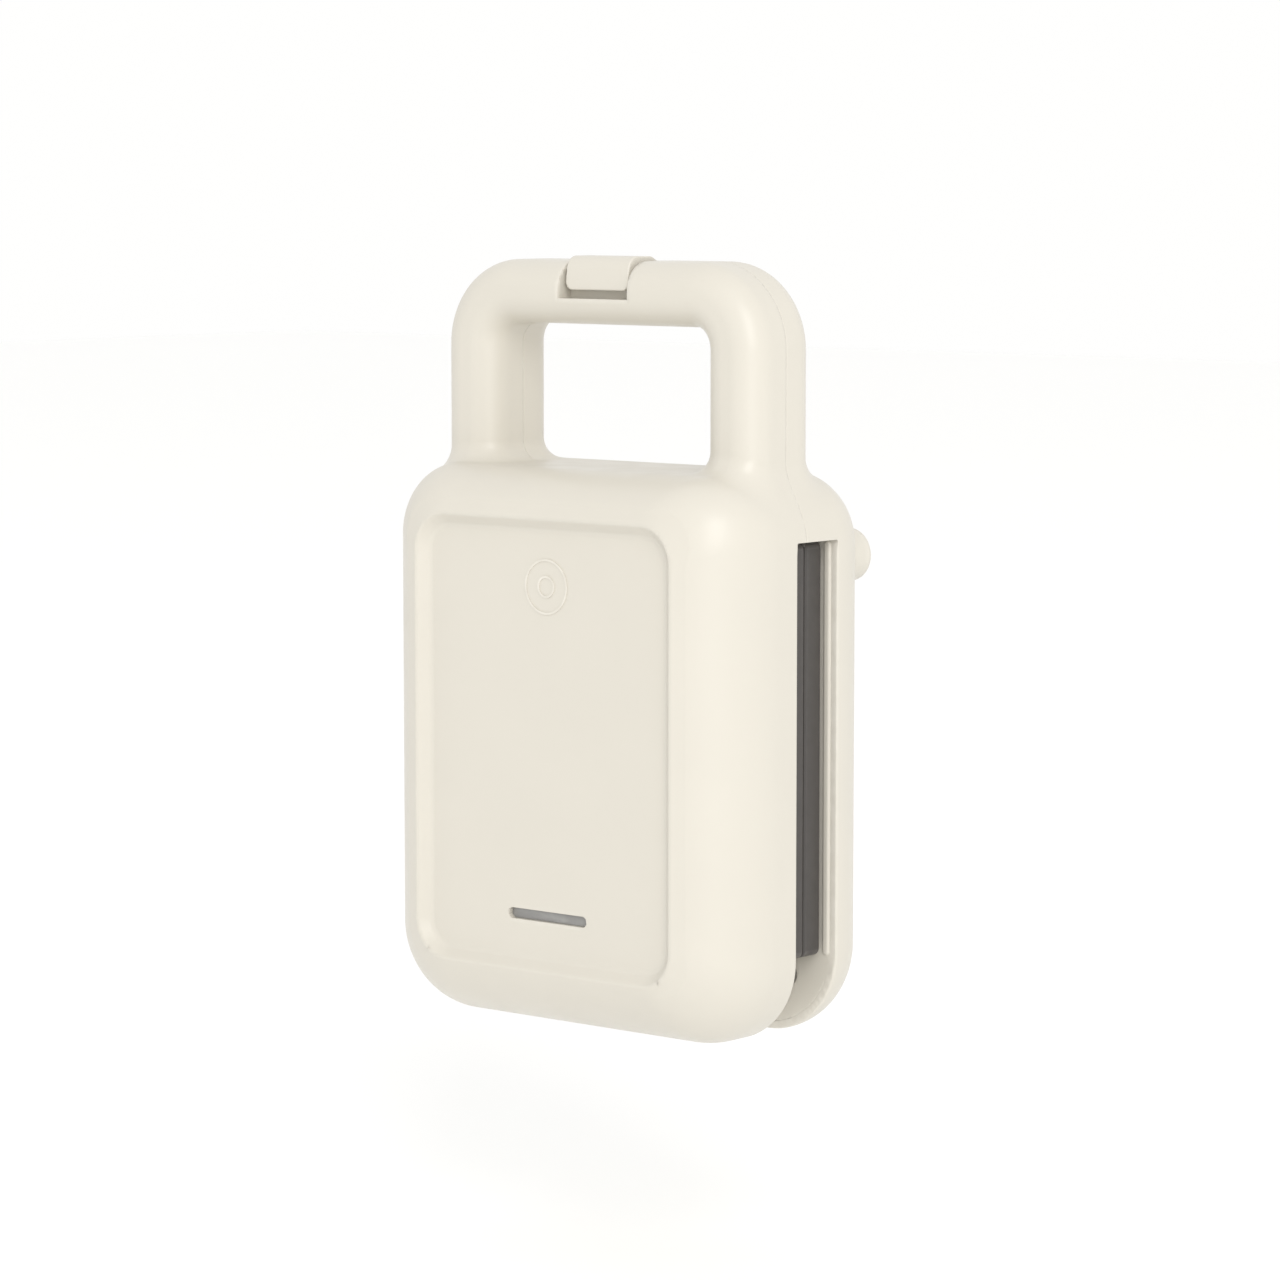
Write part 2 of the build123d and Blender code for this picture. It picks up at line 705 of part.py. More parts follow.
def make_heater(side, name):
    """A tubular element bent to a U behind the moulds, with two upright tails."""
    middle = (PLATE_LOW + PLATE_TOP) / 2
    y = y_of(PLATE_SPLIT + side * (PLATE_BODY_END + HEATER_R))
    low, high = middle + HEATER_LOW, middle + HEATER_HIGH
    tail_y = y + side * HEATER_TAIL
    with BuildPart() as heater:
        with BuildLine() as path:
            FilletPolyline(
                (-HEATER_TAIL_X, tail_y, low),
                (-HEATER_TAIL_X, y, low),
                (-HEATER_X, y, low),
                (-HEATER_X, y, high),
                (HEATER_X, y, high),
                (HEATER_X, y, low),
                (HEATER_TAIL_X, y, low),
                (HEATER_TAIL_X, tail_y, low),
                radius=HEATER_BEND_R,
            )
        with BuildSketch(Plane(path.line @ 0, z_dir=path.line % 0)):
            Circle(HEATER_R - 0.1)
        sweep(path=path.line)
    export(heater, name)


def make_screws(name, places, start_offset, side, length, head_h=SCREW_HEAD_H):
    """Pan-head screws: heads outside start_offset, shanks towards the plates."""
    with BuildPart() as screws:
        with BuildSketch(at_offset(side, start_offset + head_h)):
            with Locations(*places):
                Circle(SCREW_HEAD_R)
        extrude(amount=side * head_h)
        with BuildSketch(at_offset(side, start_offset)):
            with Locations(*places):
                Circle(SCREW_R)
        extrude(amount=side * length)
        # Cross recess in each head.
        with BuildSketch(at_offset(side, start_offset + head_h)):
            with Locations(*places):
                Rectangle(CROSS_L, CROSS_W)
                Rectangle(CROSS_W, CROSS_L)
        extrude(amount=side * 1.2, mode=Mode.SUBTRACT)
    export(screws, name)


def make_frame_screws(side, name):
    """Countersunk screws that hold an inner frame to its shell's bosses."""
    head = SCREW_HEAD_R - SCREW_R
    with BuildPart() as screws:
        for x, z in frame_screw_places():
            with BuildSketch(at_offset(side, FRAME_FACE + 0.1)):
                with Locations((x, z)):
                    Circle(SCREW_HEAD_R - 0.15)
            extrude(amount=-side * head, taper=45)
            with BuildSketch(at_offset(side, FRAME_FACE + 0.2)):
                with Locations((x, z)):
                    Circle(SCREW_R)
            extrude(amount=-side * FRAME_SCREW_LENGTH)
            with BuildSketch(at_offset(side, FRAME_FACE)):
                with Locations((x, z)):
                    Rectangle(CROSS_L - 0.6, CROSS_W)
                    Rectangle(CROSS_W, CROSS_L - 0.6)
            extrude(amount=-side * 1.1, mode=Mode.SUBTRACT)
    export(screws, name)


def make_thermostat():
    middle = (PLATE_LOW + PLATE_TOP) / 2
    with BuildPart() as thermostat:
        with BuildSketch(at_offset(BASE, PLATE_BODY_END + THERMOSTAT_H)):
            with Locations((0, middle)):
                Circle(THERMOSTAT_R)
        extrude(amount=THERMOSTAT_H)
        fillet(thermostat.edges().group_by(Axis.Y)[-1], 1.0)
        with BuildSketch(at_offset(BASE, PLATE_BODY_END + THERMOSTAT_H + TAB_H)):
            with Locations((-4.5, middle), (4.5, middle)):
                Rectangle(0.8, 6.3)
        extrude(amount=TAB_H)
    export(thermostat, "thermostat")


def make_thermal_fuse():
    middle = (PLATE_LOW + PLATE_TOP) / 2
    with BuildPart() as thermal_fuse:
        with Locations(Pos(FUSE_X, y_of(PLATE_SPLIT + TRAY_FLOOR + TRAY_SHEET + FUSE_R + 0.2), middle)):
            Cylinder(FUSE_R, 11.0)
            Cylinder(0.5, 27.0)
    export(thermal_fuse, "thermal_fuse")


def make_terminal_block():
    with BuildPart() as terminal_block:
        with Locations(Pos(TERMINAL_X, y_of(TERMINAL_DEPTH), TERMINAL_Z)):
            Box(TERMINAL_W, TERMINAL_T, TERMINAL_H)
        fillet(terminal_block.edges().filter_by(Axis.Y), 1.0)
        with BuildSketch(at_depth(TERMINAL_DEPTH - TERMINAL_T / 2)):
            with GridLocations(TERMINAL_PITCH, 0, 3, 1):
                with Locations((TERMINAL_X, TERMINAL_Z)):
                    Circle(TERMINAL_HOLE_R)
        extrude(amount=-TERMINAL_T + 4, mode=Mode.SUBTRACT)
    export(terminal_block, "terminal_block")


def make_indicator():
    with BuildPart() as lens:
        with BuildSketch(at_depth(PANEL_DEPTH + WALL)):
            with Locations((0, LIGHT_Z)):
                SlotOverall(LIGHT_W - 0.2, LIGHT_H - 0.2)
        extrude(amount=WALL - LENS_RECESS)
        with BuildSketch(at_depth(PANEL_DEPTH + WALL + LENS_FLANGE)):
            with Locations((0, LIGHT_Z)):
                SlotOverall(LIGHT_W + 5, LIGHT_H + 5)
        extrude(amount=LENS_FLANGE)
    export(lens, "indicator_lens")
    board_depth = PANEL_DEPTH + WALL + BOARD_STANDOFF
    with BuildPart() as board:
        with BuildSketch(at_depth(board_depth + BOARD_T)):
            with Locations((0, LIGHT_Z)):
                RectangleRounded(BOARD_W, BOARD_H, 1.5)
            with Locations(*board_posts()):
                Circle(1.3, mode=Mode.SUBTRACT)
        extrude(amount=BOARD_T)
    export(board, "indicator_board")
    with BuildPart() as lamps:
        with BuildSketch(at_depth(board_depth)):
            with Locations((-LAMP_X, LIGHT_Z), (LAMP_X, LIGHT_Z)):
                Circle(LAMP_R)
        extrude(amount=LAMP_H)
        fillet(lamps.edges().group_by(Axis.Y)[0], 1.2)
    export(lamps, "indicator_lamps")


def make_emblem():
    with BuildPart() as emblem:
        with BuildSketch(at_depth(PANEL_DEPTH)):
            with Locations((0, EMBLEM_Z)):
                Circle(EMBLEM_R)
                Circle(EMBLEM_R - EMBLEM_LINE, mode=Mode.SUBTRACT)
                Circle(EMBLEM_HOLE_R)
                Circle(EMBLEM_HOLE_R - EMBLEM_LINE, mode=Mode.SUBTRACT)
        extrude(amount=EMBLEM_H)
    export(emblem, "emblem_ring")


def make_latch_clip():
    """The clip over the handle: an upright tab, a top plate and a knuckle on its pin."""
    pin_y = y_of(CLIP_PIN_DEPTH)
    tab_front = y_of(HANDLE_FRONT + TAB_RECESS)
    tab_back = y_of(HANDLE_FRONT + NOTCH_DEPTH) - CLIP_FIT
    under = HANDLE_TOP - NOTCH_DROP + CLIP_FIT
    bend = NOTCH_CORNER_R
    crest = y_of(CLIP_CREST_END)
    with BuildPart() as clip:
        with BuildSketch(Plane.YZ.offset(-CLIP_W / 2)):
            with BuildLine():
                Line((tab_back, CLIP_END_Z), (tab_front, CLIP_END_Z))
                Spline(
                    (tab_front, CLIP_END_Z),
                    (tab_front + TAB_LEAN, HANDLE_TOP - 2.5),
                    (tab_front + TAB_LEAN + 5, CLIP_TOP),
                    tangents=[(0, 1), (1, 0)],
                )
                Line((tab_front + TAB_LEAN + 5, CLIP_TOP), (crest, CLIP_TOP))
                Spline(
                    (crest, CLIP_TOP),
                    (y_of(CLIP_FLUSH_START), CLIP_FLUSH_Z),
                    tangents=[(1, 0), (1, 0)],
                )
                Line((y_of(CLIP_FLUSH_START), CLIP_FLUSH_Z), (pin_y, CLIP_FLUSH_Z))
                RadiusArc((pin_y, CLIP_FLUSH_Z), (pin_y + CLIP_KNUCKLE_R - 0.2, CLIP_PIN_Z + 1), 4.4)
                Polyline(
                    (pin_y + CLIP_KNUCKLE_R - 0.2, CLIP_PIN_Z + 1),
                    (pin_y, CLIP_PIN_Z + 1),
                    (pin_y, under),
                    (tab_back + bend, under),
                )
                RadiusArc((tab_back + bend, under), (tab_back, under - bend), -bend)
                Line((tab_back, under - bend), (tab_back, CLIP_END_Z))
            make_face()
            with Locations((pin_y, CLIP_PIN_Z)):
                Circle(CLIP_KNUCKLE_R)
            with Locations((tab_back, ridge_z())):
                Circle(CLIP_RIDGE_R)
            with Locations((pin_y, CLIP_PIN_Z)):
                Circle(CLIP_PIN_R + PIN_FIT, mode=Mode.SUBTRACT)
        extrude(amount=CLIP_W)
    export(clip, "latch_clip")
    with BuildPart() as pin:
        with BuildSketch(Plane.YZ.offset(-CLIP_W / 2 - CLIP_PIN_OUT)):
            with Locations((pin_y, CLIP_PIN_Z)):
                Circle(CLIP_PIN_R)
        extrude(amount=CLIP_W + 2 * CLIP_PIN_OUT)
        chamfer(pin.edges().filter_by(GeomType.CIRCLE), 0.3)
    export(pin, "latch_pin")


def make_cord_inlet():
    """The gland in the shell's round, and the clamp that grips the cord inside."""
    with BuildPart() as gland:
        with BuildSketch(inlet_plane(GLAND_SEAT_IN)):
            Circle(GLAND_FLANGE_R)
        extrude(amount=GLAND_FLANGE_H)
        fillet(gland.edges().filter_by(GeomType.CIRCLE).sort_by(Axis.Z)[:1], 0.6)
        with BuildSketch(inlet_plane(GLAND_LENGTH)):
            Circle(GLAND_R)
        extrude(amount=GLAND_LENGTH - GLAND_SEAT_IN)
        with BuildSketch(inlet_plane(GLAND_LENGTH)):
            Circle(CORD_R)
        extrude(amount=GLAND_LENGTH + 5, mode=Mode.SUBTRACT)
    export(gland, "cord_gland")
    with BuildPart() as clamp:
        with BuildSketch(inlet_plane(CLAMP_IN + CLAMP_T / 2)):
            RectangleRounded(CLAMP_W, CLAMP_H, 1.5)
            Circle(CORD_R, mode=Mode.SUBTRACT)
            with Locations((-CLAMP_HOLE_X, 0), (CLAMP_HOLE_X, 0)):
                Circle(CLAMP_HOLE_R, mode=Mode.SUBTRACT)
        extrude(amount=CLAMP_T)
    export(clamp, "cord_clamp")


os.makedirs("parts", exist_ok=True)
make_lid_shell()
make_base_shell()
make_foot_pads()
make_plate(LID, "upper_plate")
make_plate(BASE, "lower_plate")
make_frame(LID, "lid_frame")
make_frame(BASE, "base_frame")
make_hinge_pins()
make_tray(LID, "upper_tray")
make_tray(BASE, "lower_tray")
make_heater(LID, "upper_heater")
make_heater(BASE, "lower_heater")
make_screws("upper_plate_screws", boss_places(), TRAY_FLOOR + TRAY_SHEET, LID, PLATE_SCREW_LENGTH)
make_screws("lower_plate_screws", boss_places(), TRAY_FLOOR + TRAY_SHEET, BASE, PLATE_SCREW_LENGTH)
make_frame_screws(LID, "lid_frame_screws")
make_frame_screws(BASE, "base_frame_screws")
make_thermostat()
make_thermal_fuse()
make_terminal_block()
make_indicator()
make_emblem()
make_latch_clip()
make_cord_inlet()
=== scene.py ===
"""Upright donut maker: the shells, frames and clip as smooth surfaces, the other pieces from the CAD.

Lengths in the shape functions are millimetres. A "depth" runs back from the front lip, as in the
part's source, so y = depth - FOOT_TIP / 2.
"""
import json
import math

import bpy
import numpy as np
from mathutils import Matrix, Vector


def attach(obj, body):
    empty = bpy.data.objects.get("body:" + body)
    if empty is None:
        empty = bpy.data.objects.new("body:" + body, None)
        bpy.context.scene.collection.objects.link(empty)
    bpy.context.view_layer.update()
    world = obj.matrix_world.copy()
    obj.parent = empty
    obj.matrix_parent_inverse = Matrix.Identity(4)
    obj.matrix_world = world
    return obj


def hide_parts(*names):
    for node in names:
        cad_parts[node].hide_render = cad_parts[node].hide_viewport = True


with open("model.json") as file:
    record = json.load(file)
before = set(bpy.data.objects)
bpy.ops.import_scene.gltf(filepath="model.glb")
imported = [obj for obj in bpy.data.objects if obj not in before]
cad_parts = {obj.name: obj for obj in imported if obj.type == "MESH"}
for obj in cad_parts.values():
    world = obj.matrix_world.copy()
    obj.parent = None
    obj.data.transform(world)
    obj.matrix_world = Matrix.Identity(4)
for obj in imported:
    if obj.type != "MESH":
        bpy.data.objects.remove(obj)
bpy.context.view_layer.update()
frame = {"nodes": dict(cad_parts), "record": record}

# Body
BODY_W, BODY_TOP, HANDLE_TOP, FOOT_TIP = 150.8, 183.0, 250.0, 88.5
WALL, LID_ROUND_R, LID_ROUND_START, BASE_ROUND_R, TOP_ROUND_R = 2.7, 30.7, -1.4, 22.0, 22.0
LOW_CORNER_R, TOP_CORNER_R, LOW_EASE, TOP_EASE, LEAST_CORNER_R = 28.0, 22.0, 0.72, 0.62, 3.0
BODY_BACK, LID_INSIDE_IN, BASE_INSIDE_IN, MOUTH_TOP_R, MOUTH_LENGTH = 82.5, 0.6, 0.4, 3.0, 4.2
LID_RIM, HANDLE_SPLIT, BASE_RIM, SPLIT_GAP, SLOT_TOP = 38.1, 42.8, 58.9, 0.07, 161.8
PARTING_R, LID_RIM_R, BASE_RIM_R, RIM_STEP_R, RIM_FADE = 0.18, 0.4, 1.0, 0.6, 3.0

# Handle loop
HANDLE_OUT_X, HANDLE_LEG_W, HANDLE_BAR_H = 66.9, 22.6, 20.8
HANDLE_FRONT, HANDLE_REAR, HANDLE_EDGE_R, HANDLE_CORNER_R = 26.2, 59.3, 9.8, 28.0
HANDLE_SUNK, HANDLE_INNER_R, ROOT_R = 12.0, 7.0, 7.0
CORE_WALL, CORE_DEPTH, CORE_R, CORE_EDGE_R = 3.2, 11.0, 3.0, 0.4

# Front panel
PANEL_W, PANEL_LOW, PANEL_TOP, PANEL_CORNER_R = 108.0, 20.9, 168.0, 12.5
PANEL_DEPTH, PANEL_SLOPE, PANEL_FLOOR_R, PANEL_EDGE_R, LIP_SLOPE, LIP_OUT = 3.6, 3.8, 0.8, 0.5, 0.418, 0.05
LIGHT_Z, LIGHT_W, LIGHT_H, LIGHT_HOLE_DEPTH, LIGHT_EDGE_R = 38.6, 33.4, 3.6, 12.0, 0.25

# Latch, feet and cord gland
CLIP_W, NOTCH_W, NOTCH_END_Z, CLIP_END_Z = 26.4, 29.6, 237.7, 240.5
NOTCH_DEPTH, NOTCH_DROP, NOTCH_CORNER_R, NOTCH_EDGE_R = 7.0, 3.3, 3.4, 0.35
TAB_RECESS, TAB_LEAN, TAB_LEAN_RUN, TAB_CORNER_R, TAB_EDGE_R = 2.3, 0.7, 8.0, 2.7, 0.5
CLIP_PIN_DEPTH, CLIP_PIN_Z, CLIP_PIN_SEAT_R, CLIP_PIN_OUT, CLIP_BORE_R = 53.0, 245.4, 1.5, 4.0, 1.55
CLIP_KNUCKLE_R, CLIP_KNUCKLE_ROOM, CLIP_KNUCKLE_ROOM_DEPTH = 3.9, 1.0, 41.7
CLIP_TOP, CLIP_BEND_R, CLIP_GAP = 251.5, 4.2, 0.3
CLIP_CREST_END, CLIP_FLUSH_START, CLIP_FLUSH_Z = 40.0, 44.5, 249.8
CLIP_RIDGE_R, CLIP_RIDGE_UP, CLIP_RIDGE_IN = 0.6, 1.2, 2.5

# Plates, inner frames and hinge
PLATE_SPLIT, PLATE_W, PLATE_LOW, PLATE_TOP, PLATE_CORNER_R = 48.5, 140.5, 27.0, 161.2, 2.5
FRAME_FACE, FRAME_BACK, FRAME_OPENING, FRAME_GAP = 10.45, 13.7, 2.4, 0.04
LIP_W, LIP_H, LIP_CORNER_R, LIP_EDGE_R = 2.6, 0.75, 1.2, 0.8
HINGE_Z, KNUCKLE_R, PIN_R, PIN_PLAY, KNUCKLE_W = 8.0, 5.0, 2.0, 0.05, 7.4
EAR_IN, EAR_W, EAR_GAP, EAR_EDGE_R = 26.0, 6.0, 0.3, 0.6
FRAME_SCREWS, SCREW_HEAD_R, SCREW_PLAY = (56.0, 19.0), 3.6, 0.2
FOOT_R, FOOT_PAD_H, FOOT_ROOT_R, FOOT_ROOT_DEPTH = 8.7, 1.6, 1.6, 70.0
FEET = [(s * x, z) for x, z in ((58.1, 154.3), (46.0, 26.0)) for s in (-1, 1)]
GLAND_SEAT_IN, GLAND_FLANGE_R, GLAND_FLANGE_PLAY, GLAND_R, GLAND_HOLE_DEPTH = 1.2, 6.2, 0.3, 4.8, 8.0


# --- Distance functions: negative inside -------------------------------------------------

def union(a, b, r=0.0):
    """All of a and b, with a fillet where they meet."""
    if r <= 0:
        return np.minimum(a, b)
    return np.maximum(r, np.minimum(a, b)) - np.hypot(np.maximum(r - a, 0), np.maximum(r - b, 0))


def cross(a, b, r=0.0):
    """What a and b share, with its edge rounded."""
    if r <= 0:
        return np.maximum(a, b)
    return np.minimum(-r, np.maximum(a, b)) + np.hypot(np.maximum(r + a, 0), np.maximum(r + b, 0))


def cut(a, b, r=0.0):
    """What is left of a outside b."""
    return cross(a, -b, r)


def round_rect(x, z, x0, x1, z0, z1, low_r, top_r=None):
    """A rectangle with round corners, of one radius below and one above."""
    top_r = low_r if top_r is None else top_r
    cx, cz = (x0 + x1) / 2, (z0 + z1) / 2
    r = np.where(z > cz, top_r, low_r)
    qx = np.abs(x - cx) - (x1 - x0) / 2 + r
    qz = np.abs(z - cz) - (z1 - z0) / 2 + r
    return np.minimum(np.maximum(qx, qz), 0) + np.hypot(np.maximum(qx, 0), np.maximum(qz, 0)) - r


def come_in(radius, run):
    """How far a quarter round has come in, and the cosine that makes it a true distance."""
    left = np.clip(radius - run, 0, radius)
    upright = np.sqrt(np.maximum(radius**2 - left**2, 0))
    return radius - upright, np.maximum(upright / radius, 0.25)


def pillow(x, d, z, face, sign, side_r, top_r):
    """A body with a round from its face to its flanks."""
    run = sign * (d - face)
    side, lean = come_in(side_r, run)
    top, _ = come_in(top_r, run)
    half = BODY_W / 2 - side
    flank = round_rect(x, z, -half, half, side, BODY_TOP - top,
                       np.maximum(LOW_CORNER_R - LOW_EASE * side, LEAST_CORNER_R),
                       np.maximum(TOP_CORNER_R - TOP_EASE * top, LEAST_CORNER_R))
    return np.maximum(flank * lean, -run)


def handle(x, d, z):
    """The loop, with round outer edges in front and at the rear."""
    inner_x = HANDLE_OUT_X - HANDLE_LEG_W
    root = BODY_TOP - HANDLE_SUNK
    outer = round_rect(x, z, -HANDLE_OUT_X, HANDLE_OUT_X, root, HANDLE_TOP, 1.0, HANDLE_CORNER_R)
    gap = round_rect(x, z, -inner_x, inner_x, root - 20, HANDLE_TOP - HANDLE_BAR_H, 1.0, HANDLE_INNER_R)
    loop = cut(outer, gap)
    middle, half = (HANDLE_FRONT + HANDLE_REAR) / 2, (HANDLE_REAR - HANDLE_FRONT) / 2
    return cross(loop, np.abs(d - middle) - half, HANDLE_EDGE_R)


def between(v, low, high):
    """A slab from low to high."""
    return np.abs(v - (low + high) / 2) - (high - low) / 2


def box3(x, d, z, x0, x1, d0, d1, z0, z1):
    """A box, by its low and high side along each axis."""
    return np.maximum(np.maximum(between(x, x0, x1), between(d, d0, d1)), between(z, z0, z1))


def latch_notch(x, d, z):
    """Where the clip lies: a pocket in the front of the bar, and open above."""
    back, floor = HANDLE_FRONT + NOTCH_DEPTH, HANDLE_TOP - NOTCH_DROP
    block = cross(back - d, z - floor, NOTCH_CORNER_R)
    return np.maximum(np.maximum(np.abs(x) - NOTCH_W / 2, NOTCH_END_Z - z), -block)


def knuckle_room(x, d, z):
    """Room for the clip's knuckle, open to the rear and above."""
    low = CLIP_PIN_Z - CLIP_KNUCKLE_R - CLIP_KNUCKLE_ROOM
    return box3(x, d, z, -NOTCH_W / 2, NOTCH_W / 2, CLIP_KNUCKLE_ROOM_DEPTH, 70, low, HANDLE_TOP + 5)


def cores(x, d, z, depth):
    """Pockets in the parting face of a handle half."""
    inner_x = HANDLE_OUT_X - HANDLE_LEG_W
    leg_low, leg_top = SLOT_TOP + CORE_WALL, HANDLE_TOP - HANDLE_CORNER_R
    leg_in, leg_out = inner_x + CORE_WALL, HANDLE_OUT_X - CORE_WALL
    legs = round_rect(np.abs(x), z, leg_in, leg_out, leg_low, leg_top, CORE_R)
    bar_in, bar_low = NOTCH_W / 2 + CORE_WALL, HANDLE_TOP - HANDLE_BAR_H + CORE_WALL
    bars = round_rect(np.abs(x), z, bar_in, inner_x - CORE_WALL, bar_low, HANDLE_TOP - CORE_WALL, CORE_R)
    middle_half = inner_x - CORE_WALL
    middle = round_rect(x, z, -middle_half, middle_half, leg_low, BODY_TOP - CORE_WALL, CORE_R)
    flat = np.minimum(np.minimum(legs, bars), middle)
    return np.maximum(flat, np.abs(d - HANDLE_SPLIT) - depth)


def mouth(x, z, gap=0.0):
    """The outline of a shell's open side, gap inside its wall."""
    return round_rect(x, z, -BODY_W / 2 + WALL + gap, BODY_W / 2 - WALL - gap, WALL + gap, SLOT_TOP - gap,
                      LOW_CORNER_R - WALL - gap, MOUTH_TOP_R)


def stepped_parting(f, x, d, z, side, rim_r):
    """The parting plane of the handle, and below the slot's top a rim that stands further back."""
    parting = side * (HANDLE_SPLIT + side * SPLIT_GAP / 2 - d)
    rim = side * ((LID_RIM if side < 0 else BASE_RIM) - d)
    keep = np.maximum(parting, union(rim, SLOT_TOP - z, RIM_STEP_R))
    # The edge's radius grows from the parting's to the rim's, just below the slot's top.
    r = PARTING_R + (rim_r - PARTING_R) * np.clip((SLOT_TOP - 0.5 - z) / RIM_FADE, 0, 1)
    return np.minimum(-r, np.maximum(f, keep)) + np.hypot(np.maximum(r + f, 0), np.maximum(r + keep, 0))


def lid_surface(x, d, z):
    """The front shell with its panel, the slot for the light and the front half of the handle."""
    body = pillow(x, d, z, LID_ROUND_START, 1, LID_ROUND_R, TOP_ROUND_R)
    # A flat lip round the panel, which meets the round in a faint crease.
    panel = round_rect(x, z, -PANEL_W / 2, PANEL_W / 2, PANEL_LOW, PANEL_TOP, PANEL_CORNER_R)
    lip = (LIP_OUT + LIP_SLOPE * panel - d) / math.hypot(1, LIP_SLOPE)
    body = np.maximum(np.maximum(body, lip), -d)
    body = union(body, handle(x, d, z), ROOT_R)
    body = stepped_parting(body, x, d, z, -1, LID_RIM_R)
    # The recess: walls at about 45 degrees, down to a flat floor.
    wall = (panel + d * PANEL_SLOPE / PANEL_DEPTH) / math.hypot(1, PANEL_SLOPE / PANEL_DEPTH)
    recess = cross(wall, d - PANEL_DEPTH, PANEL_FLOOR_R)
    body = cut(body, recess, PANEL_EDGE_R)
    light = round_rect(x, z, -LIGHT_W / 2, LIGHT_W / 2, LIGHT_Z - LIGHT_H / 2, LIGHT_Z + LIGHT_H / 2,
                       LIGHT_H / 2 - 0.01)
    body = cut(body, np.maximum(light, d - LIGHT_HOLE_DEPTH), LIGHT_EDGE_R)
    # The hollow, and the wider mouth at its open side.
    inner = pillow(x, d, z, LID_ROUND_START, 1, LID_ROUND_R, TOP_ROUND_R) + WALL + LID_INSIDE_IN
    inner = np.maximum(np.maximum(inner, between(d, PANEL_DEPTH + WALL, LID_RIM)), z - SLOT_TOP)
    inner = np.minimum(inner, np.maximum(mouth(x, z), (LID_RIM - MOUTH_LENGTH) - d))
    body = cut(body, inner)
    body = cut(body, cores(x, d, z, CORE_DEPTH), CORE_EDGE_R)
    return cut(body, latch_notch(x, d, z), NOTCH_EDGE_R)


def base_surface(x, d, z):
    """The rear shell with its foot posts, the gland's seat and the rear half of the handle."""
    body = pillow(x, d, z, BODY_BACK, -1, BASE_ROUND_R, BASE_ROUND_R)
    body = union(body, handle(x, d, z), ROOT_R)
    posts = 1e3
    for fx, fz in FEET:
        posts = np.minimum(posts, np.hypot(x - fx, z - fz) - FOOT_R)
    posts = np.maximum(posts, np.maximum(d - FOOT_TIP + FOOT_PAD_H, FOOT_ROOT_DEPTH - d))
    body = union(body, posts, FOOT_ROOT_R)
    body = stepped_parting(body, x, d, z, 1, BASE_RIM_R)
    inner = pillow(x, d, z, BODY_BACK, -1, BASE_ROUND_R, BASE_ROUND_R) + WALL + BASE_INSIDE_IN
    inner = np.maximum(inner, (BASE_RIM + MOUTH_LENGTH - 0.2) - d)
    inner = np.minimum(inner, np.maximum(mouth(x, z), d - (BASE_RIM + MOUTH_LENGTH)))
    body = cut(body, inner)
    body = cut(body, cores(x, d, z, CORE_DEPTH), CORE_EDGE_R)
    body = cut(body, np.minimum(latch_notch(x, d, z), knuckle_room(x, d, z)), NOTCH_EDGE_R)
    # Seat and hole of the cord gland, at 45 degrees through the rear round of the hinge end.
    along = ((d - BODY_BACK + BASE_ROUND_R) - (z - BASE_ROUND_R)) * math.sqrt(0.5)
    across = np.hypot(x, ((d - BODY_BACK + BASE_ROUND_R) + (z - BASE_ROUND_R)) * math.sqrt(0.5))
    seat = np.maximum(across - GLAND_FLANGE_R - GLAND_FLANGE_PLAY, BASE_ROUND_R - GLAND_SEAT_IN - along)
    body = cut(body, seat, 0.3)
    body = cut(body, np.maximum(across - GLAND_R, BASE_ROUND_R - GLAND_HOLE_DEPTH - along))
    pin = np.hypot(d - CLIP_PIN_DEPTH, z - CLIP_PIN_Z) - CLIP_PIN_SEAT_R
    return cut(body, np.maximum(pin, np.abs(x) - CLIP_W / 2 - CLIP_PIN_OUT))


def clip_surface(x, d, z):
    """The clip: an upright tab, a top plate that sinks flush with the bar, a knuckle on its pin."""
    front = HANDLE_FRONT + TAB_RECESS + TAB_LEAN * np.clip((z - CLIP_END_Z) / TAB_LEAN_RUN, 0, 1) ** 2
    sink = np.clip((d - CLIP_CREST_END) / (CLIP_FLUSH_START - CLIP_CREST_END), 0, 1)
    top = CLIP_TOP - (CLIP_TOP - CLIP_FLUSH_Z) * sink * sink * (3 - 2 * sink)
    outside = cross(front - d, z - top, CLIP_BEND_R)
    back, under = HANDLE_FRONT + NOTCH_DEPTH - CLIP_GAP, HANDLE_TOP - NOTCH_DROP + CLIP_GAP
    inside = cross(back - d, z - under, NOTCH_CORNER_R)
    solid = np.maximum(np.maximum(outside, -inside), d - CLIP_PIN_DEPTH)
    knuckle = np.hypot(d - CLIP_PIN_DEPTH, z - CLIP_PIN_Z) - CLIP_KNUCKLE_R
    solid = union(solid, knuckle, 0.4)
    # The tab's lower end, with round lower corners.
    flat = round_rect(x, z, -CLIP_W / 2, CLIP_W / 2, CLIP_END_Z, CLIP_TOP + 20, TAB_CORNER_R)
    solid = cross(solid, flat, TAB_EDGE_R)
    ridge = np.hypot(d - back, z - (CLIP_END_Z + CLIP_RIDGE_UP)) - CLIP_RIDGE_R
    solid = np.minimum(solid, np.maximum(ridge, np.abs(x) - CLIP_W / 2 + CLIP_RIDGE_IN))
    return cut(solid, np.hypot(d - CLIP_PIN_DEPTH, z - CLIP_PIN_Z) - CLIP_BORE_R)


